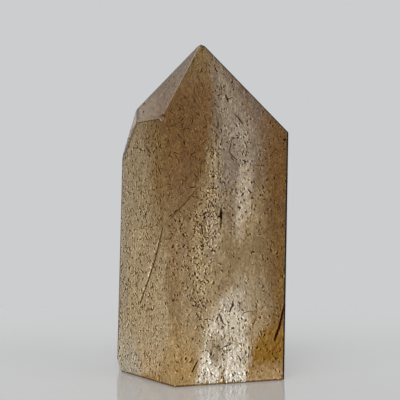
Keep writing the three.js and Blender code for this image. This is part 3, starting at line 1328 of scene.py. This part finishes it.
@dataclass
class CrystalBody:
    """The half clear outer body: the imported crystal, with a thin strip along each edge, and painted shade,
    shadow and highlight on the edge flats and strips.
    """

    name: str = "quartz_body"
    strip: float = 0.26
    merge_gap: float = 1e-6
    flat_angle: float = 0.5
    narrow_face: float = 1.0
    front_turn: float = -0.9
    front_half: float = -0.6
    back_turn: float = 0.15
    right_turn: float = 0.5
    downward_turn: float = -0.3
    upward_turn: float = 0.2
    upright: float = 0.05
    strip_turn: float = -0.3

    def build(self, node: Object, tint: NodeTree, wear: NodeTree) -> Object:
        """Copies the node, merges it and gives each face its finish.

        Args:
            node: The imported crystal.
            tint: The group that gives the milky tint.
            wear: The group that varies the polish.

        Returns:
            The piece.
        """
        bm = bmesh.new()
        bm.from_mesh(node.data)
        bmesh.ops.remove_doubles(bm, verts=bm.verts, dist=self.merge_gap)
        flat = math.radians(self.flat_angle)
        bmesh.ops.dissolve_limit(bm, angle_limit=flat, verts=bm.verts, edges=bm.edges)
        bmesh.ops.recalc_face_normals(bm, faces=bm.faces)
        narrow = [face for face in bm.faces if self._is_narrow(face)]
        broad = [face for face in bm.faces if not self._is_narrow(face)]
        for face in narrow:
            face.material_index = self._edge_finish(face).number
        for face in broad:
            face.material_index = self._face_finish(face).number
        strips = bmesh.ops.inset_individual(bm, faces=broad, thickness=self.strip * METRES_PER_MM,
                                            use_even_offset=True)["faces"]
        for face in strips:
            face.material_index = self._strip_finish(face, narrow).number
        mesh = mesh_from(self.name, bm)
        for finish in Finish:
            mesh.materials.append(finish.value.material(tint, wear))
        piece = ride(self.name, mesh)
        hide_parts(NODE)
        return piece

    def _is_narrow(self, face: BMFace) -> bool:
        """Whether a face is an edge flat or part of a nick."""
        return face.calc_area() / (face.calc_perimeter() / 2.0) < self.narrow_face * METRES_PER_MM

    def _is_left_tip(self, face: BMFace) -> bool:
        """Whether a face is the tip face on the left of the front, which almost no fibre meets."""
        return face.normal.z > self.upward_turn and face.normal.y < self.front_half

    def _face_finish(self, face: BMFace) -> Finish:
        """A broad face's finish."""
        return Finish.BARE_TIP if self._is_left_tip(face) else Finish.POLISH

    def _edge_finish(self, flat: BMFace) -> Finish:
        """Chooses an edge flat's finish.

        Args:
            flat: The edge flat.

        Returns:
            Its finish: a painted highlight at the left tip, a painted brown shadow at the base, the darkest
                painted shade at the right, painted shade at the other side edges, and plain behind.
        """
        x, y, z = flat.normal
        if self._is_left_tip(flat):
            return Finish.PALE_EDGE
        if z < self.downward_turn:
            return Finish.BASE_EDGE
        if y < self.front_turn or y > self.back_turn:
            return Finish.POLISH
        return Finish.SHADE_EDGE if x > self.right_turn and z < self.upward_turn else Finish.DARK_EDGE

    def _strip_finish(self, strip: BMFace, narrow: list[BMFace]) -> Finish:
        """Chooses a strip's finish.

        Args:
            strip: The strip.
            narrow: All edge flats.

        Returns:
            Its finish: on front faces that of a painted shade or shadow edge flat beside it, and painted
                shade below the left tip face.
        """
        own = self._face_finish(strip)
        flats = [face for edge in strip.edges for face in edge.link_faces if face in narrow]
        if not flats or strip.normal.y > self.strip_turn:
            return own
        beside = list(Finish)[flats[0].material_index]
        if beside is Finish.PALE_EDGE and strip.normal.z < self.upright:
            return Finish.DARK_EDGE
        return beside if beside in (Finish.DARK_EDGE, Finish.SHADE_EDGE, Finish.BASE_EDGE) else own


@dataclass(frozen=True)
class Lamp:
    """A square lamp that faces the stone: its place and its side in metres, and its power in watts."""

    name: str
    place: Place
    side: float
    power: float
    aim: Place = (0.0, 0.0, 0.04)

    def build(self) -> None:
        """Hangs the lamp."""
        data = bpy.data.lights.new(self.name, "AREA")
        data.size = self.side
        data.energy = self.power
        lamp = new_object(self.name, data)
        lamp.location = self.place
        lamp.rotation_euler = (Vector(self.aim) - Vector(self.place)).to_track_quat("-Z", "Y").to_euler()


@dataclass
class Studio:
    """The floor, the soft light and the camera.

    The camera's eye and lens are in millimetres and its pitch in degrees. The rest is in metres.
    """

    eye: Place = (-0.813, -155.46, 35.903)
    pitch: float = 2.445
    lens: float = 55.161
    nearest: float = 0.005
    floor_half: float = 3.0
    floor_end: float = 0.11
    floor_colour: Colour = (0.37, 0.37, 0.365)
    floor_roughness: float = 0.10
    floor_ior: float = 1.9
    light_in_front: Colour = (0.36, 0.365, 0.37)
    light_behind: Colour = (0.76, 0.77, 0.78)
    light_turn: Span = (-0.1, 0.8)
    backdrop: Colour = (0.60, 0.61, 0.62)
    lamps: tuple[Lamp, ...] = (
        Lamp("left", (-0.70, 0.10, 0.75), 0.9, 1.0), Lamp("left front", (-0.90, -0.50, 0.60), 0.4, 3.0),
        Lamp("front", (-0.15, -0.70, 1.00), 0.8, 10.5), Lamp("right", (0.85, -0.35, 0.55), 0.6, 4.0))
    most_bounces: tuple[tuple[str, int], ...] = (
        ("max_bounces", 16), ("diffuse_bounces", 5), ("transmission_bounces", 12),
        ("transparent_max_bounces", 16))

    def build(self) -> None:
        """Sets up everything round the stone."""
        self._camera()
        self._floor()
        self._world()
        for lamp in self.lamps:
            lamp.build()
        for kind, most in self.most_bounces:
            setattr(bpy.context.scene.cycles, kind, most)
        bpy.context.scene.view_settings.view_transform = "Standard"

    def _camera(self) -> None:
        """The camera, level with the stone's middle and looking slightly up."""
        data = bpy.data.cameras.new("camera")
        data.lens = self.lens
        data.clip_start = self.nearest
        camera = new_object("camera", data)
        camera.location = Vector(self.eye) * METRES_PER_MM
        camera.rotation_euler = (math.radians(90.0 + self.pitch), 0.0, 0.0)
        bpy.context.scene.camera = camera

    def _floor(self) -> None:
        """A pale, faintly glossy floor."""
        bm = bmesh.new()
        middle = Matrix.Translation((0.0, self.floor_end - self.floor_half, 0.0))
        bmesh.ops.create_grid(bm, x_segments=1, y_segments=1, size=self.floor_half, matrix=middle)
        mesh = mesh_from("floor", bm)
        material, wires, output = new_material("floor")
        shader = wires.add("BsdfPrincipled", {
            "Base Color": (*self.floor_colour, 1.0),
            "Roughness": self.floor_roughness,
            "IOR": self.floor_ior,
        })
        wires.link(shader.outputs[0], output.inputs["Surface"])
        mesh.materials.append(material)
        floor = new_object("floor", mesh)

    def _world(self) -> None:
        """A pale surround, dimmer on the camera's side so that the polish mirrors little of it."""
        world = bpy.data.worlds.new("surround")
        world.use_nodes = True
        wires = Wires(world.node_tree)
        direction = wires.add("SeparateXYZ", {0: wires.add("TexCoord").outputs["Generated"]})
        behind = wires.step(direction.outputs["Y"], *self.light_turn)
        lit = wires.blend(behind, self.light_in_front, self.light_behind)
        seen = wires.blend(wires.add("LightPath").outputs["Is Camera Ray"], lit, self.backdrop)
        wires.link(seen, world.node_tree.nodes["Background"].inputs["Color"])
        bpy.context.scene.world = world


@dataclass
class Inclusions:
    """What grew in the stone, from the deep haze out to the marks at the polish."""

    stone: Stone
    tint: NodeTree

    def build(self) -> None:
        """Builds every inclusion."""
        self._below_the_polish()
        # The glints beside the flecks and the long needle are painted highlights
        painted_glint_finish = Fibre("fibre_pale", (0.88, 0.92, 1.04), (1.24, 1.30, 1.45), tint=self.tint, milk=0.06)
        pale = painted_glint_finish.material()
        self._at_the_polish(pale)
        self._standing_out(pale)

    def _below_the_polish(self) -> None:
        """The haze, the veil and the fine needles."""
        haze = Grown("haze", (0.50, 0.44, 0.34), (0.82, 0.76, 0.66)).material()
        milk = Grown("milk", (0.80, 0.77, 0.71), (0.95, 0.93, 0.89)).material()
        dark = Grown("rutile_dark", (0.030, 0.016, 0.008), (0.11, 0.06, 0.025)).material()
        gold = Grown("rutile_pale", (0.40, 0.32, 0.21), (0.66, 0.57, 0.42)).material()
        flakes = Swarm(
            "deep_haze", seed=101, habit=Habit.FLAKE, count=45000, length=(0.6, 1.6), width=(0.2, 0.6),
            depth=(0.8, 30.0), tilt=25.0)
        flakes.build(self.stone, haze)
        veil = Swarm(
            "veil_flakes", seed=103, habit=Habit.FLAKE, count=14000, length=(0.5, 1.8), width=(0.15, 0.4),
            depth=(0.2, 4.0), tilt=15.0, where=milky)
        veil.build(self.stone, milk)
        Swarm("brown_needles", seed=106).build(self.stone, dark)
        Swarm("golden_needles", seed=107).build(self.stone, gold)

    def _at_the_polish(self, pale: Material) -> None:
        """The fibres that the polish cuts.

        Args:
            pale: The finish of their glints, painted highlights.
        """
        bold = Fibre("fibre_bold", (0.070, 0.035, 0.003), (0.33, 0.23, 0.08), tint=self.tint).material()
        faint = Fibre("fibre_faint", (0.31, 0.235, 0.095), (0.62, 0.53, 0.37), tint=self.tint).material()
        Flecks().build(self.stone, bold, faint, pale)

    def _standing_out(self, pale: Material) -> None:
        """The marks that stand out one by one, and the stray needles.

        Args:
            pale: The finish of the long needle's glints, painted highlights.
        """
        needle = Grown("needle_brown", (0.050, 0.024, 0.006), (0.105, 0.056, 0.014)).material()
        spot = Grown("spot_brown", (0.010, 0.004, 0.001), (0.030, 0.012, 0.002)).material()
        stain = Grown("mark_brown", (0.022, 0.012, 0.006), (0.060, 0.036, 0.016)).material()
        rust = Grown("crack_rust", (0.018, 0.002, 0.001), (0.05, 0.008, 0.002)).material()
        vein = Grown("vein_gold", (0.10, 0.035, 0.002), (0.24, 0.10, 0.006)).material()
        stray = Fibre("fibre_stray", (0.22, 0.18, 0.13), (0.60, 0.55, 0.48), tint=self.tint).material()
        for name, marks, proud, material in (
                ("named_needles", BROWN_STROKES, 0.05, needle), ("needle_glints", NEEDLE_GLINTS, 0.03, pale),
                ("dark_spots", DARK_SPOTS, 0.05, spot), ("veil_marks", VEIL_MARKS, 0.04, stain),
                ("core_marks", CORE_MARKS, 0.04, stain), ("rusty_cracks", RUSTY_CRACKS, 0.05, rust),
                ("golden_veins", GOLDEN_VEINS, 0.03, vein)):
            Standouts(name, [mark.strand(self.stone) for mark in marks], proud).build(material)
        Standouts("stray_needles", StrayNeedles().strands(self.stone), proud=0.02).build(stray)


def main() -> None:
    """Builds every piece in order."""
    logging.basicConfig(level=logging.INFO, format="%(name)s %(message)s")
    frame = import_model()
    node = frame["nodes"][NODE]
    stone = Stone.of_node(node)
    LOG.info("stone: %d broad faces", len(stone.normals))
    Studio().build()
    tint = GrowthTint().group()
    CrystalBody().build(node, tint, PolishWear().group())
    Inclusions(stone, tint).build()


if __name__ == "__main__":
    main()
